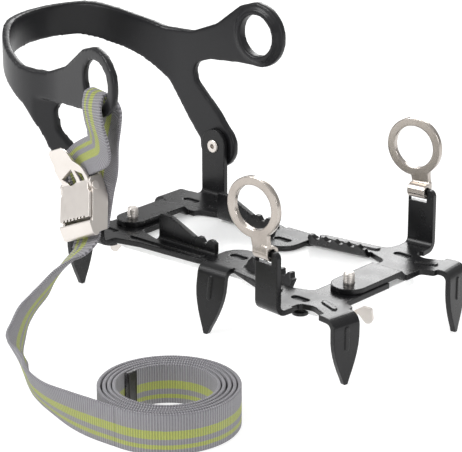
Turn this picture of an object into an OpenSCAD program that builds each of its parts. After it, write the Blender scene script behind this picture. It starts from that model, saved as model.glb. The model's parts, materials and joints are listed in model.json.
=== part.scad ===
// Six-point adjustable instep crampon with a strap, a cam buckle and a heel harness.
// Frame: +X to the toe, +Y to the far side, +Z up; the six spike tips stand on z = 0. Millimetres.

/* [Frame] */
// thickness of the steel the two rails are stamped from
plate_t = 2.5; // [2:0.1:3]
// height of the rails' top face over the spike tips
top_z = 31.4; // [25:0.1:40]
// distance from the midline to the front spike tips
front_tip_y = 40; // [34:0.5:48]
// thickness gap between the sliding arms and the tabs under them
arm_gap = 0.1; // [0.05:0.05:0.3]
// how far the far rail slides in towards the near one
travel = 6; // [4:1:7]

/* [Posts] */
// top of the front posts
front_post_top = 58.5; // [50:0.5:64]
// distance from the midline to the outer face of the rear posts
rear_post_y = 44.5; // [40:0.1:50]
// height of the rear rivets, about which the heel harness turns
pivot_z = 56.5; // [50:0.5:60]

/* [Rings] */
// outer radius of a lace ring
ring_outer_r = 13.8; // [12:0.1:16]
// radius of the hole of a lace ring
ring_hole_r = 10; // [8:0.1:11]

/* [Harness] */
// thickness of the moulded heel harness
harness_t = 3.8; // [3:0.1:4.5]
// radius of the strap hole in a harness end
harness_hole_r = 10.1; // [9:0.1:11]

/* [Webbing] */
// width of the strap
web_w = 18; // [15:0.5:20]
// thickness of the strap
web_t = 1.5; // [1.2:0.1:2]
// turns of the coiled strap
coil_turns = 5; // [3:1:6]

/* [Hidden] */
$fn = 48;
black = [0.09, 0.09, 0.1];
nickel = [0.78, 0.75, 0.72];
grey = [0.62, 0.61, 0.66];
bottom_z = top_z - plate_t;
spike_r = 2.5;
post_r = 2.5;
rear_post_r = 2;
splay = 5;
rear_post_x = -70.8;
rear_post_w = 14.7;
pivot_x = -70.8;
screw_r = 2.45;
rear_screw = [-72, -14];
front_screw = [60, -12.8];
rear_slot = [-73, 28.4];
mid_slot = [-2.7, 15.6];
front_slot = [52, 36.7];
rivet_r = 2.2;
bar_z = front_post_top - 1.3;
lobe_r = 9.5;
ring_up = 20;
hook_x = -1.8;
// where the middle of the part lies, measured from the point between the wing screws
centre_x = -32.8;
centre_y = -4.6;

// ---- helpers ----
module placed() translate([-centre_x, -centre_y, 0]) children();
function unit(v) = v / norm(v);
function corner(a, b, c, r, n) = r <= 0 ? [b] :
  let(u = unit(a - b), w = unit(c - b), half = acos(u * w) / 2, m = b + unit(u + w) * r / sin(half),
    p = b + u * r / tan(half) - m, q = b + w * r / tan(half) - m,
    a0 = atan2(p.y, p.x), d = atan2(q.y, q.x) - a0, da = d > 180 ? d - 360 : d < -180 ? d + 360 : d)
  [for (i = [0:n]) m + r * [cos(a0 + da * i / n), sin(a0 + da * i / n)]];
function flat(p) = [p.x, p.y];
// a closed outline from points [x, y, corner radius]
function rounded(p, n = 5) = let(k = len(p))
  [for (i = [0:k - 1]) each corner(flat(p[(i + k - 1) % k]), flat(p[i]), flat(p[(i + 1) % k]), p[i][2], n)];

// side view of a plate end that bends up by an angle: flat for back, then the bend, then a leg
function bent(r, angle, leg, back) = let(o = r + plate_t, n = 6) concat([[-back, 0]],
  [for (i = [0:n]) [o * sin(angle * i / n), o - o * cos(angle * i / n)]],
  [[o * sin(angle) + leg * cos(angle), o - o * cos(angle) + leg * sin(angle)],
   [r * sin(angle) + leg * cos(angle), o - r * cos(angle) + leg * sin(angle)]],
  [for (i = [n:-1:0]) [r * sin(angle * i / n), o - r * cos(angle * i / n)]], [[-back, plate_t]]);
// a bent plate end whose face has the outline given as a child, x across and y up
module bent_end(w, r, angle, leg, back) intersection() {
  translate([-w / 2, 0, 0]) rotate([90, 0, 90]) linear_extrude(w) polygon(bent(r, angle, leg, back));
  translate([0, 90, 0]) rotate([90, 0, 0]) linear_extrude(180) children();
}
// flat-topped bead pressed up out of a plate's face, from a to b
module bead(a, b, w = 3.6, up = 0.7) translate([a.x, a.y, -0.5]) rotate([0, 0, atan2(b.y - a.y, b.x - a.x)])
  linear_extrude(up + 0.5) slot2d([norm(b - a) / 2, 0], norm(b - a) + w, w);
module slot2d(at, length, width) translate(at) polygon(rounded([for (q = [[-1, -1], [1, -1], [1, 1], [-1, 1]])
  [q.x * length / 2, q.y * width / 2, width / 2 - 0.05]], 6));

// ---- one rail: the far one; the near one is its mirror image with tabs in place of arms ----
// outline of a spike, top wide and closing to a blunt tip on the ground
function blade(w) = let(h = [30, 24, 20.5, 17, 13.5, 10, 6.5, 3, 0],
  k = [1, 1, 0.99, 0.93, 0.82, 0.67, 0.49, 0.28, 0.12])
  concat([[w / 2, 40]], [for (i = [0:8]) [w / 2 * k[i], h[i]]], [for (i = [8:-1:0]) [-w / 2 * k[i], h[i]]],
    [[-w / 2, 40]]);
module spike(w, lean) translate([0, 0, top_z]) {
  mirror([0, 0, 1]) bent_end(w, spike_r, 90 - lean, 34, 5) translate([0, top_z]) mirror([0, 1])
    polygon(blade(w));
}
module spike_bead(lean) translate([0, spike_r + plate_t, top_z - spike_r - plate_t]) rotate([lean - 90, 0, 0])
  translate([0, 0, -0.02]) bead([0, 0.5], [0, 9.5], 2.2, 0.5);
module post(w, r, top, top_r) translate([0, 0, bottom_z]) bent_end(w, r, 90, 40, 5)
  polygon(rounded([[-w / 2, -5, 0], [w / 2, -5, 0], [w / 2, top - bottom_z, top_r],
    [-w / 2, top - bottom_z, top_r]], 8));

function edge_arm(x0, x1, y) = [[x1, y, 0], [x0, y, 0]];
module rail_outline(tab_y) {
  polygon(rounded(concat(
    [[-86, 20.8, 2], [-86, 37.6, 1], [-81, 38.6, 2], [-77.4, 38.8, 0.5], [-64.2, 38.8, 0.5],
     [-63.45, 35.5, 2], [-50, 32.2, 12], [-15, 30, 12], [-11, 28.2, 0], [5.8, 28.2, 0], [22, 34.3, 12],
     [41.5, 39.5, 4], [43.4, 49.3, 0.5], [55, 50.3, 0.5], [55.6, 41.5, 3], [62, 39.6, 6], [70, 43.2, 5],
     [73.8, 46.4, 0.5], [75.8, 31.8, 0.5], [75.4, 29.2, 1], [69.7, 27, 2]],
    edge_arm(50.3, 69.7, tab_y),
    [[50.3, 25.2, 4], [38, 30, 0], [8.6, 25.7, 0], [6.8, 22.5, 1.5]],
    [for (a = [0:-15:-180]) [mid_slot.x + lobe_r * cos(a), mid_slot.y + lobe_r * sin(a), 0]],
    [[-12.2, 23.5, 1], [-47.2, 23.5, 0], [-51, 22.5, 1], [-60.8, 19.4, 4]],
    edge_arm(-81, -60.8, tab_y), [[-81, 20, 2]])));
}
function grip_teeth(n, pitch) = [for (i = [0:n - 1]) each [[i * pitch + 0.4, 3.2], [i * pitch + 1.7, 5.2],
  [i * pitch + 3.3, 5.2], [i * pitch + 4.8, 3.2]]];
module rail(tab_y) {
  difference() {
    union() {
      translate([0, 0, bottom_z]) linear_extrude(plate_t) rail_outline(tab_y);
      translate([-87.75, 30.3, 0]) rotate([0, 0, 90]) { spike(15.5, 0); spike_bead(0); }
      translate([-3.2, 29.2, 0]) { spike(16.6, 9); spike_bead(9); }
      translate([76.3, front_tip_y - 0.5, 0]) rotate([0, 0, -82]) { spike(15, 0); spike_bead(0); }
      translate([rear_post_x, 40, 0]) post(rear_post_w, rear_post_r, 65, rear_post_w / 2 - 0.05);
      translate([49.2, 51.1, 0]) rotate([0, 0, splay]) post(13.6, post_r, front_post_top, 3);
      // toothed sole grips, bent up from the inner edge
      translate([-29.9, 23, bottom_z]) mirror([0, 1, 0]) bent_end(35.4, 1.5, 90, 20, 4) translate([-17.7, 0])
        polygon([[0, -1], [0.3, 13.8], [1.2, 14.7], [7.6, 14.4], [22.2, 8.2], [23.2, 7], [24.6, 8.9],
          [26.8, 8.9], [28.4, 6.9], [30, 6.8], [31.4, 8.8], [33.6, 8.9], [35.4, 7.8], [35.4, -1]]);
      translate([23.3, 26.9, bottom_z]) rotate([0, 0, 8.3]) mirror([0, 1, 0]) bent_end(30.9, 1.5, 60, 20, 4)
        translate([-15.45, 2]) polygon(concat([[0, -3]], grip_teeth(5, 6.2), [[30.9, 2.9], [30.9, -3]]));
      translate([0, 0, top_z]) {
        bead([-58, 27.6], [-16, 26.2]);
        bead([10, 30.4], [38, 35]);
        bead([63, 33.4], [71, 36.4], 2.4, 0.6);
      }
    }
    translate([0, 0, bottom_z - 1]) linear_extrude(plate_t + 2) {
      slot2d(rear_slot, 9.5, 4);
      slot2d(mid_slot, 9.5, 4);
      slot2d(front_slot, 9.5, 4);
    }
    translate([pivot_x, 50, pivot_z]) rotate([90, 0, 0]) cylinder(r = rivet_r, h = 12);
    // window for the ring's hook
    translate([49.2, 51.1, 0]) rotate([0, 0, splay]) translate([hook_x - 4.9, post_r - 1, bar_z - 5])
      cube([9.8, plate_t + 2, 3.75]);
  }
}
module screw_slot(at) {
  translate([0, 0, bottom_z - 1]) linear_extrude(plate_t + 2) {
    translate([at.x - 2.7, at.y - travel]) square([5.4, travel]);
    for (y = [0, travel]) translate([at.x, at.y - y]) circle(r = 2.7, $fn = 32);
  }
}
module near_rail() color(black) difference() {
  mirror([0, 1, 0]) rail(-4);
  screw_slot(rear_screw);
  screw_slot(front_screw);
}
module arm(x0, x1, at) {
  r = (x1 - x0) / 2;
  // the step down from the arm to the far rail
  translate([x0, 0, 0]) rotate([90, 0, 90]) linear_extrude(x1 - x0) polygon([[19, bottom_z], [15.8, bottom_z],
    [13, top_z + arm_gap], [10, top_z + arm_gap], [10, top_z + arm_gap + plate_t],
    [14, top_z + arm_gap + plate_t], [16.8, top_z], [19, top_z]]);
  translate([0, 0, top_z + arm_gap]) linear_extrude(plate_t) {
    translate([x0, at.y]) square([x1 - x0, 11 - at.y]);
    translate([x0 + r, at.y]) circle(r = r);
  }
}
module far_rail() color(black) difference() {
  union() {
    rail(17);
    arm(-79.8, -64.2, rear_screw);
    arm(52, 69, front_screw);
  }
  for (at = [rear_screw, front_screw]) translate([at.x, at.y, top_z - 1]) cylinder(r = screw_r + 0.05, h = 6);
}

// ---- anti-balling plate under the rails, its clips, and the wing screws ----
function mirror_y(p) = [for (i = [len(p) - 1:-1:0]) [p[i].x, -p[i].y, p[i][2]]];
// outlines of one half, with a notch beside the middle spike; the far notch is deeper, for the spike's travel
plate_near = [[-84, 25, 4], [-62, 29.5, 8], [-14, 26.6, 3], [-13, 24.5, 2], [8, 24.5, 2], [9, 27, 3],
  [34, 32.5, 6], [60, 36.5, 4], [68.5, 24, 4]];
plate_far = [[-84, 25, 4], [-62, 29.5, 8], [-15, 26.6, 3], [-13.4, 22, 2], [7.4, 22, 2], [9.4, 27, 3],
  [34, 32.5, 6], [60, 36.5, 4], [68.5, 24, 4]];
hollow_near = [[-82.6, 24, 3], [-62, 28.1, 7], [-15, 25.4, 2], [-14, 23.1, 1], [9.2, 23.1, 1], [10.2, 25.7, 2],
  [34, 31, 5], [59.2, 35, 3], [67, 23.5, 3]];
hollow_far = [[-82.6, 24, 3], [-62, 28.1, 7], [-16.2, 25.3, 2], [-14.6, 20.6, 1], [8.6, 20.6, 1],
  [10.6, 25.7, 2], [34, 31, 5], [59.2, 35, 3], [67, 23.5, 3]];
module anti_ball_plate() color([0.93, 0.94, 0.95, 0.6]) {
  low = bottom_z - 3.9;
  difference() {
    translate([0, 0, low]) linear_extrude(3.4) polygon(rounded(concat(plate_far, mirror_y(plate_near))));
    translate([0, 0, low - 1]) linear_extrude(2.9) polygon(rounded(concat(hollow_far, mirror_y(hollow_near))));
    // room for the wing screws' hubs and their travel
    translate([0, 0, low - 1]) linear_extrude(6) for (at = [rear_screw, front_screw]) {
      for (y = [0, travel]) translate([at.x, at.y - y]) circle(r = 6.6, $fn = 40);
      translate([at.x - 6.6, at.y - travel]) square([13.2, travel]);
    }
    // near clips fit their holes; far clips slide in slots
    for (s = [rear_slot, mid_slot, front_slot]) {
      translate([s.x - 2.05, -s.y - 1.65, low - 1]) cube([4.1, 3.3, 6]);
      translate([s.x - 2.05, s.y - 1.65 - travel, low - 1]) cube([4.1, 3.3 + travel, 6]);
      // room for the clips' heads
      translate([s.x, -s.y, low - 1]) cylinder(r = 4, h = 2.1, $fn = 32);
      translate([s.x, s.y, low - 1]) cylinder(r = 4, h = 2.1, $fn = 32);
      translate([s.x, s.y - travel, low - 1]) cylinder(r = 4, h = 2.1, $fn = 32);
      translate([s.x - 4, s.y - travel, low - 1]) cube([8, travel, 2.1]);
    }
  }
}
module clip(at) {
  translate([at.x, at.y, 0]) {
    translate([-1.95, -1.55, bottom_z - 4.6]) cube([3.9, 3.1, 5]);
    translate([0, 0, bottom_z - 4.6]) cylinder(r = 3.6, h = 1.4, $fn = 32);
    // wedged in the rail's slot, below its top face
    translate([0, 0, bottom_z + 0.1]) linear_extrude(plate_t - 0.9) difference() {
      slot2d([0, 0], 9.3, 3.8);
      slot2d([2.6, 0], 2.6, 1.6);
    }
  }
}
module near_clips() color(black) for (s = [rear_slot, mid_slot, front_slot]) clip([s.x, -s.y]);
module far_clips() color(black) for (s = [rear_slot, mid_slot, front_slot]) clip(s);
module wing_screw(at) {
  head = bottom_z - 0.15;
  translate([at.x, at.y, 0]) {
    translate([0, 0, head - 1]) cylinder(r = screw_r, h = top_z + 8.2 - head, $fn = 40);
    translate([0, 0, top_z + 7.1]) rotate_extrude($fn = 40)
      polygon([[0, 0], [screw_r, 0], [screw_r - 0.6, 0.7], [0, 0.7]]);
    // thread crests on the free end
    for (i = [0:4]) translate([0, 0, top_z + 3.2 + i * 0.8]) rotate_extrude($fn = 40)
      polygon([[1.5, 0], [screw_r - 0.1, 0], [screw_r + 0.18, 0.2], [screw_r - 0.1, 0.4], [1.5, 0.4]]);
    translate([0, 0, head - 1.4]) cylinder(r = 5.6, h = 1.4, $fn = 40);
    translate([0, 0, head - 9]) cylinder(r = 4.2, h = 8, $fn = 40);
    for (s = [0, 180]) rotate([0, 0, s + 25]) rotate([90, 0, 0]) translate([0, 0, -1]) linear_extrude(2)
      polygon(rounded([[2, head - 9, 0], [2, head - 4.4, 0], [10.8, head - 6, 1],
        [11.6, head - 12.2, 2], [8.4, head - 13.4, 2], [5, head - 9, 1]]));
  }
}
module front_wing_screw() color(nickel) wing_screw(front_screw);
module rear_wing_screw() color(nickel) wing_screw(rear_screw);

// ---- hollow rivets through the rear posts ----
module eyelet(from, to) {
  translate([pivot_x, 0, pivot_z]) rotate([-90, 0, 0]) rotate_extrude($fn = 40)
    polygon([[1.2, from - 0.6], [2.9, from - 0.7], [3.3, from - 0.3], [3.2, from], [rivet_r - 0.05, from],
      [rivet_r - 0.05, to], [3.2, to], [3.3, to + 0.3], [2.9, to + 0.7], [1.2, to + 0.6]]);
}
arm_in = rear_post_y + 0.3;
arm_out = arm_in + harness_t;
buckle_in = arm_out + 2.4;
buckle_out = buckle_in + 1.5;
module far_rivet() color(nickel) eyelet(rear_post_y - plate_t - 0.1, arm_out + 0.15);
// the near one ends flush with the buckle's base
module near_rivet() color(nickel) translate([pivot_x, 0, pivot_z]) rotate([90, 0, 0]) rotate_extrude($fn = 40)
  let(from = rear_post_y - plate_t - 0.1) polygon([[1.2, from - 0.6], [2.9, from - 0.7], [3.3, from - 0.3],
    [3.2, from], [rivet_r - 0.05, from], [rivet_r - 0.05, buckle_out - 0.05], [1.2, buckle_out - 0.05]]);

// ---- moulded heel harness: a band around the heel that forks into a strap ring and a pivot arm ----
heel_x = -96.5;
heel_y = (arm_in + 0.0) - 47.5;
ring_c = [-44.8, 116.9];
module side_profile(near) {
  // seen from the side: x forward, z up
  difference() {
    union() {
      polygon(rounded(concat(near ?
        [[-160, 107, 0], [-140, 106.3, 10], [-119, 98.5, 14], [-103.3, 92, 10], [-94.4, 82.5, 14],
         [-86.5, 69, 10],
         [pivot_x - 10.5, 60, 6], [pivot_x, pivot_z - 8, 2], [pivot_x + 8, 63, 3], [-71.5, 69.5, 6],
         [-85, 84, 5]] :
        [[-160, 107, 0], [-140, 106.3, 10], [-118, 94.5, 20], [-103, 84, 12], [-89.5, 66, 20],
         [pivot_x - 11, 57, 6], [pivot_x, pivot_z - 8, 2], [pivot_x + 9, 63, 3], [-70.5, 73.5, 4],
         [-85, 86.5, 5]],
        [[-86.5, 95.5, 6], [-76, 99.2, 6], [-58, 101, 12], [ring_c.x, 101.6, 4], [ring_c.x, 133.1, 0],
        [-56, 129.8, 10],
        [-71.5, 118.1, 12], [-88, 111.4, 16], [-106, 110.8, 16], [-122.5, 115.8, 16], [-138, 122.4, 14],
        [-160, 122.8, 0]]), 12));
      translate([pivot_x, pivot_z]) circle(r = 11.5, $fn = 56);
      translate(ring_c) circle(r = 15.75, $fn = 72);
    }
    translate([pivot_x, pivot_z]) circle(r = rivet_r, $fn = 40);
    translate(ring_c) circle(r = harness_hole_r, $fn = 64);
  }
}
module side_prism(near) translate([0, near ? 0 : 90, 0]) rotate([90, 0, 0]) linear_extrude(90)
  side_profile(near);
near_out = heel_y - 47.5 - harness_t;
module heel_harness() color(black) {
  // heel band and the far side
  intersection() {
    translate([0, 0, 40]) linear_extrude(95) {
      difference() {
        translate([heel_x, heel_y]) circle(r = 47.5 + harness_t, $fn = 120);
        translate([heel_x, heel_y]) circle(r = 47.5, $fn = 120);
        translate([heel_x, -100]) square([100, 200]);
      }
      translate([heel_x - 0.5, arm_in]) square([80, harness_t]);
    }
    union() {
      side_prism(false);
      side_prism(true);
    }
  }
  // near side, ring arm, flaring out
  intersection() {
    translate([0, 0, 98.2]) linear_extrude(50) polygon(rounded([[heel_x - 0.5, near_out, 0],
      [heel_x - 0.5, near_out + harness_t, 0], [-84, near_out + harness_t, 46],
      [-25, near_out + harness_t - 15.8, 0], [-25, near_out - 15.8, 0], [-84, near_out, 50]], 8));
    side_prism(true);
  }
  // near side, pivot arm, drawn in to the post
  intersection() {
    translate([0, 0, 40]) linear_extrude(61) polygon([[heel_x - 0.5, near_out], [-78, -arm_out],
      [-50, -arm_out], [-50, -arm_in], [-78, -arm_in], [heel_x - 0.5, near_out + harness_t]]);
    side_prism(true);
  }
  // raised collar round the far strap hole
  translate([ring_c.x, arm_in + 0.2, ring_c.y]) rotate([90, 0, 0]) difference() {
    cylinder(r = 12.8, h = 1.7, $fn = 64);
    translate([0, 0, -1]) cylinder(r = harness_hole_r, h = 4, $fn = 64);
  }
}

// ---- lace rings: a flat ring on a neck, rolled round the bar at the top of a front post ----
module lace_ring(turn) {
  // local frame: bar axis along X through the origin, ring upwards
  difference() {
    union() {
      rotate([0, 90, 0]) cylinder(r = 3.5, h = 9, center = true, $fn = 40);
      translate([-4.5, 1.2, 0.6]) cube([9, 2.3, 3.2]);
    }
    rotate([0, 90, 0]) cylinder(r = 2.05, h = 10, center = true, $fn = 40);
  }
  rotate([0, 0, turn]) translate([0, 2.35, 0]) rotate([90, 0, 0]) translate([0, 0, -1.15]) linear_extrude(2.3)
    difference() {
      union() {
        translate([-4.3, ring_up]) circle(r = ring_outer_r, $fn = 72);
        polygon([[-4.5, 2.6], [4.5, 2.6], [3.9, 6], [3.8, 8.6], [4.8, 11], [-12, 11], [-7.6, 8.8], [-5.2, 6]]);
      }
      translate([-4.3, ring_up]) circle(r = ring_hole_r, $fn = 64);
    }
}
module ring_at() {
  translate([49.2, 51.1, bar_z]) rotate([0, 0, splay]) translate([hook_x, post_r + plate_t / 2, 0]) children();
}
module far_ring() color(nickel) ring_at() lace_ring(3);
module near_ring() color(nickel) mirror([0, 1, 0]) ring_at() lace_ring(-8);

// ---- cam buckle on the near rear rivet, tipped forward at the bottom and kicked outwards ----
tip = -23;
kick = 24;
buckle_x = 8.2;
buckle_w = 21.4;
pin_y = -56.8;
pin_z = 1.5;
lever_at = [-59, 0.5];
module buckle_frame() translate([pivot_x, 0, pivot_z]) rotate([0, tip, 0]) children();
// a slice across the buckle, drawn as [y, z], from x0 over a width w
module across(x0, w) translate([buckle_x + x0, 0, 0]) rotate([90, 0, 90]) linear_extrude(w) children();
module buckle_base() color(nickel) buckle_frame() {
  difference() {
    union() {
      across(-buckle_w / 2, buckle_w) polygon([[-buckle_in, 6.5], [-buckle_in, -5], [-57.4, -19.4],
        [-58.8, -18.8], [-buckle_out, -4.7], [-buckle_out, 6.5]]);
      // round tab for the rivet
      rotate([90, 0, 0]) translate([0, 0, buckle_in]) cylinder(r = 5.2, h = 1.5, $fn = 40);
      // cheeks, each with a rounded ear at the top
      for (x = [-buckle_w / 2, buckle_w / 2 - 1.4]) across(x, 1.4)
        polygon(rounded([[-buckle_in, 5.8, 2.4], [-buckle_in, -5, 0], [-57.4, -19.4, 0.5], [-65.4, -19.2, 2.6],
          [-65.8, -16.2, 1], [-58.6, 0.4, 0.5], [-59.2, 1.6, 0.5], [-59, 5.8, 2.4]]));
      // rounded lower lip that the strap leaves under
      across(-buckle_w / 2, buckle_w) translate([-64.4, -18.4]) circle(r = 2, $fn = 32);
      across(-buckle_w / 2, buckle_w) polygon([[-66.4, -18.4], [-66.7, -13.4], [-66.2, -12.9], [-65.3, -12.9],
        [-65, -15.6], [-64.4, -17]]);
      // guide ear on the rear cheek
      across(-buckle_w / 2 - 1.5, 2) polygon([[-58.5, -4], [-59.9, -3.4], [-63, -10.4], [-61.6, -11]]);
    }
    translate([0, -40, 0]) rotate([90, 0, 0]) cylinder(r = rivet_r, h = 30, $fn = 40);
    across(-20, 40) translate([pin_y, pin_z]) circle(r = 1.5, $fn = 32);
  }
}
module buckle_pin() color(nickel) buckle_frame() {
  across(-buckle_w / 2 - 0.1, buckle_w + 0.2) translate([pin_y, pin_z]) circle(r = 1.45, $fn = 32);
  for (x = [-buckle_w / 2 - 0.9, buckle_w / 2 + 0.1]) across(x, 0.8) translate([pin_y, pin_z])
    circle(r = 2.1, $fn = 32);
}
module lever_frame() translate([0, lever_at.x, lever_at.y]) rotate([-kick, 0, 0]) children();
module buckle_lever() color(nickel) buckle_frame() difference() {
  union() {
    // face plate with its thumb tab bent outwards
    lever_frame() intersection() {
      across(-10.3, 20.6) polygon([[0, -13.5], [0, 5], [-11.8, 18.6], [-12.9, 17.7], [-1.9, 5], [-1.4, 3.8],
        [-1.4, -13.5]]);
      translate([buckle_x, 20, 0]) rotate([90, 0, 0]) linear_extrude(40)
        polygon(rounded([[-10.3, -13.5, 0.6], [10.3, -13.5, 0.6], [10.3, -1.6, 0.8], [9.1, -0.4, 0.5],
          [9.1, 9.4, 3], [5.4, 12.4, 1.5], [5.2, 18.4, 4.5], [-7.2, 18.4, 4.5], [-7.4, 12.4, 2], [-9.1, 9.6, 2],
          [-9.1, -0.4, 0.5], [-10.3, -1.6, 0.8]]));
    }
    // an eye round the pin on each side
    for (x = [-9.1, 7.6]) across(x, 1.5) polygon(rounded([[pin_y + 2.3, pin_z - 2.6, 2.2],
      [pin_y + 2.3, pin_z + 2.6, 2.2], [lever_at.x + 1.1, 3.6, 0], [lever_at.x - 0.4, 0.2, 0],
      [-63.4, -8.4, 0], [-61.6, -8.4, 0.5]]));
    // toothed jaw that grips the strap
    lever_frame() across(-9, 18)
      polygon([[-0.2, -13.5], [-0.2, -9.5], [4.9, -11.9], [5.7, -13.3], [4.9, -13.5]]);
  }
  // window through the plate, with a bar across it
  lever_frame() translate([buckle_x, 20, 0]) rotate([90, 0, 0]) linear_extrude(40) {
    polygon([[-7.6, 6.6], [1.8, 9.4], [1.2, 4.2], [-3, 2.8]]);
    polygon([[3.4, 8.8], [7.2, 6.8], [7, 4], [3.6, 4.2]]);
  }
  // gaps between the teeth
  for (i = [0:6]) lever_frame() translate([buckle_x - 8.1 + i * 2.4, -2, -14]) cube([1.2, 8.5, 1.5]);
  across(-20, 40) translate([pin_y, pin_z]) circle(r = 1.5, $fn = 32);
  // room for the spring
  across(-7.5, 15) translate([pin_y, pin_z]) circle(r = 2.3, $fn = 32);
}
// torsion spring wound on the pin: separate turns
module buckle_spring() color([0.6, 0.6, 0.6]) buckle_frame() translate([buckle_x, pin_y, pin_z])
  rotate([0, 90, 0]) for (i = [-6:6]) translate([0, 0, i * 0.95]) rotate_extrude($fn = 32)
    translate([1.75, 0]) circle(r = 0.22, $fn = 12);

// ---- strap: through the near harness ring, down into the buckle, then lying coiled ----
// sweeps a flat strap along stations [centre, width direction, share of the full width]
function normal_at(c, i) = unit(c[min(i + 1, len(c) - 1)][0] - c[max(i - 1, 0)][0]);
function flat_ring(c, i) = let(t = normal_at(c, i), w = unit(c[i][1] - t * (c[i][1] * t)), n = cross(t, w),
  f = [for (q = [[-1, -0.6], [-0.94, -1], [0.94, -1], [1, -0.6], [1, 0.6], [0.94, 1], [-0.94, 1], [-1, 0.6]])
    c[i][0] + w * q.x * c[i][2] * web_w / 2 + n * q.y * web_t / 2],
  // a strap lying on the ground stays on it
  up = max(0, 0.05 - min([for (p = f) p.z]))) [for (p = f) p + [0, 0, up]];
module strap(c) {
  k = len(c);
  polyhedron(points = [for (i = [0:k - 1]) each flat_ring(c, i)], faces = concat([[for (j = [0:7]) j]],
    [[for (j = [7:-1:0]) (k - 1) * 8 + j]],
    [for (i = [0:k - 2]) for (j = [0:7]) let(a = i * 8 + j, b = i * 8 + (j + 1) % 8)
      each [[b, a, a + 8], [b, a + 8, b + 8]]]), convexity = 8);
}
// a smooth run through hand-placed stations, m steps between each pair
function blend3(p, i, u) = let(k = len(p), a = p[max(i - 1, 0)], b = p[i], c = p[i + 1],
  d = p[min(i + 2, k - 1)])
  [for (q = [0, 1, 2]) 0.5 * ((2 * b[q]) + (c[q] - a[q]) * u + (2 * a[q] - 5 * b[q] + 4 * c[q] - d[q]) * u * u
    + (3 * b[q] - a[q] - 3 * c[q] + d[q]) * u * u * u)];
function smooth_run(p, m) = concat([for (i = [0:len(p) - 2]) for (j = [0:m - 1]) blend3(p, i, j / m)],
  [p[len(p) - 1]]);
loop_y = -(arm_out + 1.25);
loop_route = [
  [[-61.2, loop_y, 44.5], [0.95, 0, 0.3], 0.95], [[-58.2, loop_y, 58.5], [0.96, 0, 0.27], 0.95],
  [[-55.6, -50, 70.6], [0.96, -0.02, 0.25], 1], [[-50.4, -53, 86], [0.97, -0.15, 0.2], 1],
  [[-44.2, -55.6, 99.5], [0.96, -0.26, 0.1], 0.95], [[-42.4, -57, 105.8], [0.966, -0.259, 0], 0.86],
  [[-44.4, -59.2, 110.9], [0.966, -0.259, 0], 0.78], [[-45, -62.5, 112], [0.966, -0.259, 0], 0.77],
  [[-44.8, -65.4, 110.9], [0.966, -0.259, 0], 0.78], [[-44.2, -67.4, 106.5], [0.966, -0.259, 0], 0.86],
  [[-43.2, -67.2, 99.5], [0.96, -0.28, 0.05], 0.92], [[-42.9, -65, 91.5], [0.96, -0.29, 0.05], 0.95],
  [[-46.5, -61.6, 84.5], [0.94, -0.28, 0], 0.95], [[-54.8, -58.9, 79.8], [0.8, -0.15, -0.35], 0.93],
  [[-63.4, -56.1, 75], [0.8, -0.1, -0.3], 0.9], [[-67.4, -54.5, 70.4], [0.92, 0, 0.1], 0.92],
  [[-65.8, -53.7, 65.9], [0.92, 0, 0.39], 0.96],
  [[-64.4, -53.6, 62.5], [0.92, 0, 0.39], 0.97], [[-62.1, -53.65, 56.9], [0.92, 0, 0.39], 0.97],
  [[-61.4, -53.9, 55.2], [0.92, 0, 0.39], 0.97], [[-56.5, -59.6, 43.3], [0.92, 0, 0.39], 0.97]];
tail_route = [
  [[-56.5, -59.6, 43.3], [0.92, 0, 0.39], 0.97], [[-55.6, -61.2, 39.3], [0.92, -0.02, 0.39], 1],
  [[-54.6, -65.6, 36], [0.9, -0.1, 0.4], 1], [[-56.6, -73, 31], [0.8, -0.5, 0.38], 1],
  [[-54.4, -86.8, 25], [0.5, -0.76, 0.43], 1], [[-52.4, -99, 19.8], [0.47, -0.79, 0.43], 1],
  [[-48.5, -109, 16], [0.47, -0.8, 0.4], 1], [[-40, -121, 12.6], [0.53, -0.8, 0.35], 1],
  [[-31.5, -128.5, 10.8], [0.6, -0.74, 0.32], 1], [[-23, -134, 9.7], [0.68, -0.6, 0.45], 1],
  [[-14, -139.2, 9.1], [0.2, -0.4, 0.9], 1], [[-3.8, -145, 8.7], [-0.14, -0.34, 0.93], 1],
  [[10, -149.6, 8.75], [-0.11, -0.34, 0.93], 1], [[25.1, -151.8, 8.95], [-0.03, -0.15, 0.98], 1],
  [[38, -152, 9.05], [0, -0.03, 1], 1], [[50.7, -151, 9.05], [0, 0, 1], 1]];
coil_at = [50.7, -120.3];
coil_r = 30.6;
module webbing_loop() color(grey) strap(smooth_run(loop_route, 3));
module webbing_tail() color(grey) strap(smooth_run(tail_route, 3));
coil_in = coil_r - 0.6 - 2.2 * coil_turns;
module webbing_coil() color(grey) translate([coil_at.x, coil_at.y, 0]) rotate_extrude($fn = 90)
  polygon([[coil_in, 0], [coil_r - 0.3, 0], [coil_r - 0.3, web_w], [coil_in, web_w]]);
module strap_end_seal() color(black) translate([coil_at.x, coil_at.y, 0]) rotate([0, 0, 196])
  translate([coil_in - 1.3, -1.5, 0.1]) cube([1.5, 3, web_w - 0.2]);
placed() near_rail();
placed() far_rail();
placed() anti_ball_plate();
placed() near_clips();
placed() far_clips();
placed() front_wing_screw();
placed() rear_wing_screw();
placed() far_rivet();
placed() near_rivet();
placed() heel_harness();
placed() near_ring();
placed() far_ring();
placed() buckle_base();
placed() buckle_lever();
placed() buckle_pin();
placed() buckle_spring();
placed() webbing_loop();
placed() webbing_tail();
placed() webbing_coil();
placed() strap_end_seal();
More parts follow.
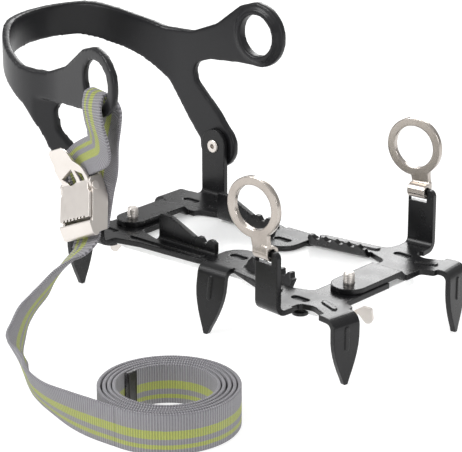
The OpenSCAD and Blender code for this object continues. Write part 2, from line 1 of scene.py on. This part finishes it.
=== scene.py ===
import json
import math
import random
import bpy
import bmesh
import numpy as np
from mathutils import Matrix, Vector


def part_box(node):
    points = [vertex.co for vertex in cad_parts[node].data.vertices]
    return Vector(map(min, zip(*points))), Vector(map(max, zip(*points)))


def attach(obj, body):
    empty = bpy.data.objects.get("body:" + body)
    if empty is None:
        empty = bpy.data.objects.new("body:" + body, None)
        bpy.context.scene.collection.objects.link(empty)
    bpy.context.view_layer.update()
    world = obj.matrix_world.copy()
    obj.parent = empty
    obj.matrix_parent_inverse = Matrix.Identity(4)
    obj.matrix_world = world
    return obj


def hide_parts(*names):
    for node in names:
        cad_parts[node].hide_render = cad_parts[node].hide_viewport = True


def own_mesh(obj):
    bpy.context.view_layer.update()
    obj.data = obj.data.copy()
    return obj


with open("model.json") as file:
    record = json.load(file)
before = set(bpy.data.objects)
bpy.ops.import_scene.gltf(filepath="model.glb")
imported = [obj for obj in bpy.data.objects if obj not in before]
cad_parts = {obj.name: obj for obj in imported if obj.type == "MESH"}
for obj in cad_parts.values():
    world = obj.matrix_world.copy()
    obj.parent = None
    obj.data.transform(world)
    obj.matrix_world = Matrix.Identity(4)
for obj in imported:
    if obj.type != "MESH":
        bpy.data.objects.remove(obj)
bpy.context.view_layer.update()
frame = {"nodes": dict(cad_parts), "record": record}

random.seed(7)
scene = bpy.context.scene
nodes = frame["nodes"]

# Routes are in millimetres, in the part's own drawing frame. There the front wing screw stands at FRONT_SCREW,
# given here in metres.
FRONT_SCREW = (0.060, -0.0128)
low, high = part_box("front_wing_screw")
SHIFT = (low + high) / 2 - Vector((*FRONT_SCREW, 0))
SHIFT.z = 0


def at(point):
    """A point of the drawing frame, in the metres of the row frame."""
    return Vector(point) / 1000 + SHIFT


# ---------------------------------------------------------------- camera
AZIMUTH, ELEVATION = math.radians(41.7), math.radians(19.8)
LOOK_AT, DISTANCE = (-54.2, 36.8, 20), 1.1
back = Vector((math.sin(AZIMUTH) * math.cos(ELEVATION), -math.cos(AZIMUTH) * math.cos(ELEVATION),
               math.sin(ELEVATION)))
cam = bpy.data.objects.new("camera", bpy.data.cameras.new("camera"))
scene.collection.objects.link(cam)
cam.location = at(LOOK_AT) + back * DISTANCE
cam.rotation_mode = "QUATERNION"
cam.rotation_quaternion = (-back).to_track_quat("-Z", "Y")
cam.data.sensor_width = 36
cam.data.lens = 173.85
cam.data.clip_start, cam.data.clip_end = 0.05, 50
scene.camera = cam

# ---------------------------------------------------------------- strap
WIDTH, THICK = 18.0, 1.5
LOOP_Y = -49.85     # the inner layer lies against the near rear post
# Stations of the strap: centre, direction across its width, and share of the full width. First the loop, from
# the post up through the harness ring and down to the buckle, then the free run, from the buckle to the coil.
LOOP = [
    ((-61.2, LOOP_Y, 44.5), (0.95, 0, 0.3), 0.95), ((-58.2, LOOP_Y, 58.5), (0.96, 0, 0.27), 0.95),
    ((-55.6, -50, 70.6), (0.96, -0.02, 0.25), 1), ((-50.4, -53, 86), (0.97, -0.15, 0.2), 1),
    ((-44.2, -55.6, 99.5), (0.96, -0.26, 0.1), 0.95), ((-42.4, -57, 105.8), (0.966, -0.259, 0), 0.86),
    ((-44.4, -59.2, 110.9), (0.966, -0.259, 0), 0.78), ((-45, -62.5, 112), (0.966, -0.259, 0), 0.77),
    ((-44.8, -65.4, 110.9), (0.966, -0.259, 0), 0.78), ((-44.2, -67.4, 106.5), (0.966, -0.259, 0), 0.86),
    ((-43.2, -67.2, 99.5), (0.96, -0.28, 0.05), 0.92), ((-42.9, -65, 91.5), (0.96, -0.29, 0.05), 0.95),
    ((-46.5, -61.6, 84.5), (0.94, -0.28, 0), 0.95), ((-54.8, -58.9, 79.8), (0.8, -0.15, -0.35), 0.93),
    ((-63.4, -56.1, 75), (0.8, -0.1, -0.3), 0.9), ((-67.4, -54.5, 70.4), (0.92, 0, 0.1), 0.92),
    ((-65.8, -53.7, 65.9), (0.92, 0, 0.39), 0.96), ((-64.4, -53.6, 62.5), (0.92, 0, 0.39), 0.97),
    ((-62.1, -53.65, 56.9), (0.92, 0, 0.39), 0.97), ((-61.4, -53.9, 55.2), (0.92, 0, 0.39), 0.97),
    ((-56.5, -59.6, 43.3), (0.92, 0, 0.39), 0.97),
]
TAIL = [
    ((-56.5, -59.6, 43.3), (0.92, 0, 0.39), 0.97), ((-55.6, -61.2, 39.3), (0.92, -0.02, 0.39), 1),
    ((-54.6, -65.6, 36), (0.9, -0.1, 0.4), 1), ((-56.6, -73, 31), (0.8, -0.5, 0.38), 1),
    ((-54.4, -86.8, 25), (0.5, -0.76, 0.43), 1), ((-52.4, -99, 19.8), (0.47, -0.79, 0.43), 1),
    ((-48.5, -109, 16), (0.47, -0.8, 0.4), 1), ((-40, -121, 12.6), (0.53, -0.8, 0.35), 1),
    ((-31.5, -128.5, 10.8), (0.6, -0.74, 0.32), 1), ((-23, -134, 9.7), (0.68, -0.6, 0.45), 1),
    ((-14, -139.2, 9.1), (0.2, -0.4, 0.9), 1), ((-3.8, -145, 8.7), (-0.14, -0.34, 0.93), 1),
    ((10, -149.6, 8.75), (-0.11, -0.34, 0.93), 1), ((25.1, -151.8, 8.95), (-0.03, -0.15, 0.98), 1),
    ((38, -152, 9.05), (0, -0.03, 1), 1), ((50.7, -151, 9.05), (0, 0, 1), 1),
]
# The coil: its centre, radius at the outside, step inwards per turn, turns, and height of its middle line.
COIL_AT, COIL_R, COIL_PITCH, TURNS, COIL_Z = (50.7, -120.3), 30.7, 2.17, 4.79, 9.05
STEPS_PER_TURN = 96


def spline(stations, steps):
    """Catmull-Rom through the stations' seven numbers, with the given steps between each pair."""
    p = np.array([[*centre, *across, share] for centre, across, share in stations], float)
    out = []
    for i in range(len(p) - 1):
        q0, q1, q2, q3 = p[max(i - 1, 0)], p[i], p[i + 1], p[min(i + 2, len(p) - 1)]
        for j in range(steps):
            u = j / steps
            out.append(0.5 * (2 * q1 + (q2 - q0) * u + (2 * q0 - 5 * q1 + 4 * q2 - q3) * u * u
                              + (3 * q1 - q0 - 3 * q2 + q3) * u ** 3))
    out.append(p[-1])
    return np.array(out)


def profile():
    """The strap's cross-section: share of the half width, and share of the half thickness."""
    top = [(-0.96 + 1.92 * j / 16, 1.0) for j in range(17)]
    side = [(0.985, 0.75), (1.0, 0.3), (1.0, -0.3), (0.985, -0.75)]
    return top + side + [(-s, -h) for s, h in top] + [(-s, -h) for s, h in side]


CLEAR_OF_GROUND = 0.05


def ribbon(name, rows, thick=THICK, start=0.0):
    """A flat strap swept along rows of centre, width direction and share.

    U runs across it from 0 to 1, and V is the distance along it in units of 100 mm. Returns the piece, its
    middle line in the row frame, and the distance along it at each row.
    """
    c = rows[:, :3]
    t = np.gradient(c, axis=0)
    t /= np.linalg.norm(t, axis=1)[:, None]
    w = rows[:, 3:6] - t * (rows[:, 3:6] * t).sum(1)[:, None]
    w /= np.linalg.norm(w, axis=1)[:, None]
    n = np.cross(t, w)
    prof = profile()
    k = len(prof)
    run = start + np.concatenate([[0], np.cumsum(np.linalg.norm(np.diff(c, axis=0), axis=1))])
    bm = bmesh.new()
    uv = bm.loops.layers.uv.new("UVMap")
    rings = []
    for i in range(len(c)):
        ring = [c[i] + w[i] * s * rows[i, 6] * WIDTH / 2 + n[i] * h * thick / 2 for s, h in prof]
        lift = max(0.0, CLEAR_OF_GROUND - min(p[2] for p in ring))
        rings.append([bm.verts.new(at((p[0], p[1], p[2] + lift))) for p in ring])
    for i in range(len(c) - 1):
        for j in range(k):
            j2 = (j + 1) % k
            f = bm.faces.new((rings[i][j], rings[i][j2], rings[i + 1][j2], rings[i + 1][j]))
            f.smooth = True
            for loop, (jj, ii) in zip(f.loops, ((j, i), (j2, i), (j2, i + 1), (j, i + 1))):
                loop[uv].uv = ((1 - prof[jj][0]) / 2, run[ii] / 100)
    for ring, ii in ((rings[0], 0), (rings[-1], len(c) - 1)):
        f = bm.faces.new(ring if ii else ring[::-1])
        for loop in f.loops:
            loop[uv].uv = (0.9, run[ii] / 100)
    bmesh.ops.recalc_face_normals(bm, faces=bm.faces)
    mesh = bpy.data.meshes.new(name)
    bm.to_mesh(mesh)
    bm.free()
    o = bpy.data.objects.new(name, mesh)
    scene.collection.objects.link(o)
    return o, [list(at(p)) for p in c], run


strap_loop, _, loop_run = ribbon("strap_loop", spline(LOOP, 8))
strap_tail, tail_path, tail_run = ribbon("strap_tail", spline(TAIL, 9), start=loop_run[-1])

# the coil: one spiral from the outside in, a little uneven from turn to turn
drift = [random.uniform(-1, 1) for _ in range(3)]
coil = []
for i in range(int(TURNS * STEPS_PER_TURN) + 1):
    turn = i / STEPS_PER_TURN
    ease = min(1, turn)
    r = COIL_R - COIL_PITCH * turn + 0.16 * math.sin(2.1 * math.pi * turn + drift[0]) * ease \
        + 0.1 * math.sin(5.3 * math.pi * turn + drift[1]) * ease
    angle = math.radians(-90) + 2 * math.pi * turn
    z = COIL_Z + 0.22 * max(0, math.sin(1.7 * math.pi * turn + drift[2])) * ease
    coil.append([COIL_AT[0] + r * math.cos(angle), COIL_AT[1] + r * math.sin(angle), z, 0, 0, 1, 1])
coil = np.array(coil)
strap_coil, _, _ = ribbon("strap_coil", coil, start=tail_run[-1])
# the sealed end wraps the last few steps, and is thicker and just short of the full width
SEAL_STEPS, SEAL_THICK, SEAL_SHARE = 5, 2.3, 0.995
seal_rows = coil[-SEAL_STEPS:].copy()
seal_rows[:, 6] = SEAL_SHARE
strap_seal, _, _ = ribbon("strap_seal", seal_rows, thick=SEAL_THICK)
for o, node, slot in ((strap_loop, "webbing_loop", "webbing"), (strap_tail, "webbing_tail", "webbing"),
                      (strap_coil, "webbing_coil", "webbing"), (strap_seal, "strap_end_seal", "seal")):
    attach(o, "near_frame")
    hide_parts(node)


# ---------------------------------------------------------------- harness: the moulded band with soft edges
def remeshed(name, node, voxel, iterations):
    """A copy of a node with its edges melted: remeshed at the voxel size in metres, then smoothed."""
    o = bpy.data.objects.new(name, nodes[node].data.copy())
    scene.collection.objects.link(o)
    remesh = o.modifiers.new("remesh", "REMESH")
    remesh.mode, remesh.voxel_size, remesh.use_smooth_shade = "VOXEL", voxel, True
    smooth = o.modifiers.new("smooth", "SMOOTH")
    smooth.factor, smooth.iterations = 0.5, iterations
    depsgraph = bpy.context.evaluated_depsgraph_get()
    mesh = bpy.data.meshes.new_from_object(o.evaluated_get(depsgraph))
    o.modifiers.clear()
    o.data = mesh
    o.data.name = name
    for face in o.data.polygons:
        face.use_smooth = True
    return o


harness = remeshed("moulded_harness", "heel_harness", voxel=0.0008, iterations=7)
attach(harness, "harness")
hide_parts("heel_harness")


# ---------------------------------------------------------------- materials
def feed(tree, value, socket):
    """Links a socket into an input, or sets the input to a plain value."""
    if isinstance(value, bpy.types.NodeSocket):
        tree.links.new(value, socket)
    else:
        socket.default_value = value


class Mat:
    """A Principled material with its node tree, and short calls to wire nodes."""

    def __init__(self, name, **values):
        self.m = bpy.data.materials.new(name)
        self.m.use_nodes = True
        self.t = self.m.node_tree
        self.b = self.t.nodes["Principled BSDF"]
        for k, v in values.items():
            self.b.inputs[k.replace("_", " ")].default_value = v

    def node(self, kind, inputs=None, **props):
        n = self.t.nodes.new(kind)
        for k, v in props.items():
            setattr(n, k, v)
        for k, v in (inputs or {}).items():
            feed(self.t, v, n.inputs[k])
        return n

    def math(self, op, x, y=0.0, clamp=False):
        return self.node("ShaderNodeMath", {0: x, 1: y}, operation=op, use_clamp=clamp).outputs[0]

    def out(self, socket, name):
        self.t.links.new(socket, self.b.inputs[name])

    def noise(self, scale, detail=3, rough=0.55, vector=None):
        inputs = {"Scale": scale, "Detail": detail, "Roughness": rough}
        if vector is not None:
            inputs["Vector"] = vector
        return self.node("ShaderNodeTexNoise", inputs).outputs["Fac"]

    def ramp(self, fac, stops, interpolation="LINEAR"):
        n = self.node("ShaderNodeValToRGB", {"Fac": fac})
        n.color_ramp.interpolation = interpolation
        el = n.color_ramp.elements
        while len(el) < len(stops):
            el.new(0.5)
        for x, (p, c) in zip(el, stops):
            x.position, x.color = p, (*c, 1)
        return n.outputs["Color"]

    def tones(self, fac, dark, light):
        """A colour from dark to light over a noise's usual spread."""
        return self.ramp(fac, [(0.3, dark), (0.7, light)])

    def span(self, fac, a, b, lo, hi):
        """Maps a to b onto lo to hi, and holds it there beyond them."""
        n = self.node("ShaderNodeMapRange", {"Value": fac, "From Min": a, "From Max": b, "To Min": lo,
                                             "To Max": hi})
        return n.outputs["Result"]

    def roughness(self, fac, lo, hi):
        self.out(self.span(fac, 0.3, 0.7, lo, hi), "Roughness")

    def mix(self, fac, c1, c2):
        """Colour c1 to c2 by fac. Inputs 0, 6 and 7 and output 2 are the Mix node's factor and colours."""
        n = self.node("ShaderNodeMix", data_type="RGBA")
        feed(self.t, fac, n.inputs[0])
        for key, colour in ((6, c1), (7, c2)):
            feed(self.t, (*colour, 1) if isinstance(colour, tuple) else colour, n.inputs[key])
        return n.outputs[2]

    def bump(self, height, strength, distance, **normal):
        return self.node("ShaderNodeBump", {"Height": height, "Strength": strength, "Distance": distance,
                                            **normal}).outputs[0]

    def soft_edges(self, radius, height, strength, distance):
        """Rounds the look of edges by radius, with height as a bump on top.

        Returns how much of an edge a point is on.
        """
        bev = self.node("ShaderNodeBevel", {"Radius": radius}, samples=6)
        self.out(self.bump(height, strength, distance, Normal=bev.outputs[0]), "Normal")
        geo = self.node("ShaderNodeNewGeometry")
        dot = self.node("ShaderNodeVectorMath", {0: bev.outputs[0], 1: geo.outputs["Normal"]},
                        operation="DOT_PRODUCT")
        return self.span(dot.outputs["Value"], 0.995, 0.8, 0, 1)


def coords(mt):
    return mt.node("ShaderNodeTexCoord").outputs["Object"]


# black powder coat: satin, a fine orange peel, rubbed a little on the edges
rail = Mat("rail_powder_coat", Specular_IOR_Level=0.33)
v = coords(rail)
peel = rail.noise(1500, 2, 0.6, v)
edge = rail.soft_edges(0.0008, peel, 0.12, 0.0002)
scuff = rail.math("MULTIPLY", edge, rail.span(rail.noise(320, 3, 0.6, v), 0.55, 0.8, 0, 0.6), True)
coat = rail.tones(rail.noise(60, 4, 0.6, v), (0.005, 0.005, 0.0055), (0.009, 0.009, 0.010))
rail.out(rail.mix(scuff, coat, (0.04, 0.04, 0.042)), "Base Color")
rail.roughness(rail.noise(90, 3, 0.5, v), 0.24, 0.31)

# satin nickel on stamped steel
nickel = Mat("satin_nickel", Metallic=1.0)
v = coords(nickel)
grain = nickel.noise(500, 3, 0.5, v)
edge = nickel.soft_edges(0.0004, grain, 0.012, 0.0001)
tone = nickel.tones(nickel.noise(90, 3, 0.5, v), (0.72, 0.675, 0.635), (0.76, 0.715, 0.675))
nickel.out(nickel.mix(edge, tone, (0.86, 0.82, 0.78)), "Base Color")
nickel.roughness(grain, 0.38, 0.44)

# the lace rings: the same nickel, darker as painted shade, and rounder at the edges
shaded_ring_nickel = Mat("ring_nickel", Metallic=1.0)
v = coords(shaded_ring_nickel)
grain = shaded_ring_nickel.noise(800, 3, 0.6, v)
edge = shaded_ring_nickel.soft_edges(0.0011, grain, 0.03, 0.0001)
# painted shade: the rings' colour is a darker copy of the nickel's
tone = shaded_ring_nickel.tones(shaded_ring_nickel.noise(70, 3, 0.5, v), (0.40, 0.36, 0.325), (0.50, 0.455, 0.415))
shaded_ring_nickel.out(shaded_ring_nickel.mix(edge, tone, (0.55, 0.51, 0.47)), "Base Color")
shaded_ring_nickel.roughness(grain, 0.2, 0.28)

# polished wire of the lever's spring
spring = Mat("spring_wire", Metallic=1.0, Roughness=0.25)
fine = spring.noise(500, 2, 0.5, coords(spring))
spring.out(spring.tones(fine, (0.45, 0.45, 0.46), (0.62, 0.62, 0.63)), "Base Color")

# thin milky plastic of the plate under the rails, with a faint white glow painted in as light
clear = Mat("milky_plastic", Transmission_Weight=0.25, IOR=1.45, Emission_Color=(1, 1, 1, 1),
            Emission_Strength=0.12)
v = coords(clear)
haze = clear.noise(45, 3, 0.5, v)
edge = clear.soft_edges(0.0005, clear.noise(700, 2, 0.5, v), 0.08, 0.0002)
tone = clear.tones(haze, (0.91, 0.915, 0.915), (0.96, 0.962, 0.96))
clear.out(clear.mix(edge, tone, (0.97, 0.97, 0.97)), "Base Color")
clear.roughness(haze, 0.3, 0.45)

# black nylon clips
nylon = Mat("black_nylon")
v = coords(nylon)
edge = nylon.soft_edges(0.0003, nylon.noise(1100, 2, 0.5, v), 0.15, 0.0002)
nylon.out(nylon.mix(edge, (0.012, 0.012, 0.013), (0.035, 0.035, 0.036)), "Base Color")
nylon.roughness(nylon.noise(300, 2, 0.5, v), 0.42, 0.55)

# moulded flexible harness: satin face with a fine leathery texture and faint flow marks
rubber = Mat("moulded_harness", Specular_IOR_Level=0.33)
v = coords(rubber)
flow = rubber.noise(35, 3, 0.5, v)
rubber.out(rubber.bump(rubber.noise(1300, 3, 0.6, v), 0.18, 0.0002), "Normal")
rubber.out(rubber.tones(flow, (0.006, 0.006, 0.007), (0.009, 0.009, 0.0105)), "Base Color")
rubber.roughness(flow, 0.3, 0.38)

# woven polyester webbing: stripes across, ribs along, and each rib made of twisted yarns; the shade and light
# of the ribs and yarns are painted into its colour
GREY, LIME = (0.36, 0.35, 0.38), (0.52, 0.58, 0.12)
RIB_PITCH, YARN_PITCH = 1.15, 0.55
web = Mat("striped_webbing", Roughness=0.78, Sheen_Weight=0.25, Sheen_Roughness=0.4)
sep = web.node("ShaderNodeSeparateXYZ", {0: web.node("ShaderNodeUVMap").outputs[0]})
u, along = sep.outputs[0], web.math("MULTIPLY", sep.outputs[1], 100)
wobble = web.math("MULTIPLY", web.math("SUBTRACT", web.noise(900, 2, 0.5, coords(web)), 0.5), 0.02)
stripe = web.ramp(web.math("ADD", u, wobble), [
    (0.0, GREY), (0.405, GREY), (0.415, LIME), (0.615, LIME), (0.625, GREY), (0.75, GREY), (0.76, LIME),
    (0.855, LIME), (0.865, GREY)])
rib = web.math("SINE", web.math("MULTIPLY", along, 2 * math.pi / RIB_PITCH))
across = web.math("ADD", web.math("MULTIPLY", u, WIDTH), web.math("MULTIPLY", rib, 0.12))
yarn = web.math("SINE", web.math("MULTIPLY", across, 2 * math.pi / YARN_PITCH))


def woven(rib_share, yarn_share):
    return web.math("ADD", web.math("MULTIPLY", rib, rib_share), web.math("MULTIPLY", yarn, yarn_share))


# painted shade and highlight: the colour is darker in the grooves and lighter on the crests of the ribs and
# yarns
rib_shading = web.span(woven(0.5, 0.28), -0.8, 0.8, 0.5, 1.2)
fibre = web.span(web.noise(2600, 3, 0.6, coords(web)), 0.25, 0.75, 0.92, 1.08)
edge_dark = web.span(web.math("ABSOLUTE", web.math("SUBTRACT", u, 0.5)), 0.46, 0.5, 1.0, 0.8)
value = web.math("MULTIPLY", web.math("MULTIPLY", rib_shading, fibre), edge_dark)
web.out(web.node("ShaderNodeHueSaturation", {"Color": stripe, "Value": value}).outputs[0], "Base Color")
web.out(web.bump(woven(0.6, 0.4), 1.0, 0.0004), "Normal")

# melted, sealed end of the strap
seal = Mat("sealed_end", Roughness=0.35)
melt = seal.noise(420, 4, 0.6, coords(seal))
seal.out(seal.tones(melt, (0.008, 0.008, 0.008), (0.03, 0.028, 0.027)), "Base Color")
seal.out(seal.bump(melt, 0.4, 0.0004), "Normal")

SLOT = {"rail_black": rail, "nickel": nickel, "clear_plastic": clear, "clip_plastic": nylon,
        "spring_wire": spring, "harness_plastic": rubber, "webbing": web, "seal": seal}
worn = [(nodes[part["node"]], shaded_ring_nickel if part["node"].endswith("_ring") else SLOT[part["material_slot"]])
        for part in frame["record"]["subparts"]]
worn += [(strap_loop, web), (strap_tail, web), (strap_coil, web), (strap_seal, seal), (harness, rubber)]
for o, mat in worn:
    o.data.materials.clear()
    o.data.materials.append(mat.m)
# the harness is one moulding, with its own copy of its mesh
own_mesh(harness)

# ---------------------------------------------------------------- stage and light
floor_mesh = bpy.data.meshes.new("floor")
REACH = 6
floor_mesh.from_pydata([(-REACH, -REACH, 0), (REACH, -REACH, 0), (REACH, REACH, 0), (-REACH, REACH, 0)], [],
                       [(0, 1, 2, 3)])
floor = bpy.data.objects.new("floor", floor_mesh)
floor.location.z = -0.0001
scene.collection.objects.link(floor)
white = Mat("white_floor", Base_Color=(0.42, 0.42, 0.42, 1), Roughness=0.9, Specular_IOR_Level=0.0,
            Emission_Color=(1, 1, 1, 1), Emission_Strength=0.72)
floor_mesh.materials.append(white.m)


def softbox(name, direction, distance, size, watts):
    """A square light that looks at the crampon from a direction, with its distance and size in metres."""
    data = bpy.data.lights.new(name, "AREA")
    data.shape, data.size, data.energy = "SQUARE", size, watts
    o = bpy.data.objects.new(name, data)
    d = Vector(direction).normalized()
    o.location = at((0, 0, 40)) + d * distance
    o.rotation_mode = "QUATERNION"
    o.rotation_quaternion = (-d).to_track_quat("-Z", "Y")
    scene.collection.objects.link(o)


softbox("key", (-0.45, -0.75, 0.8), 1.6, 0.9, 20)
softbox("rim", (-0.5, 1.0, 0.55), 1.7, 0.8, 12)
softbox("side", (1.0, -0.35, 0.45), 1.6, 0.5, 6)

# the room: darker towards the ground, white overhead
world = bpy.data.worlds.new("studio")
scene.world = world
world.use_nodes = True
wt = world.node_tree
where = wt.nodes.new("ShaderNodeTexCoord")
split = wt.nodes.new("ShaderNodeSeparateXYZ")
wt.links.new(where.outputs["Generated"], split.inputs[0])
sky = wt.nodes.new("ShaderNodeValToRGB")
for x, (pos, val) in zip([*sky.color_ramp.elements, sky.color_ramp.elements.new(0.5)],
                         ((0.0, 0.45), (1.0, 1.0), (0.45, 0.62))):
    x.position, x.color = pos, (val, val, val, 1)
wt.links.new(split.outputs["Z"], sky.inputs[0])
wt.links.new(sky.outputs[0], wt.nodes["Background"].inputs[0])
wt.nodes["Background"].inputs[1].default_value = 0.9
scene.view_settings.view_transform = "Standard"
scene.view_settings.look = "None"
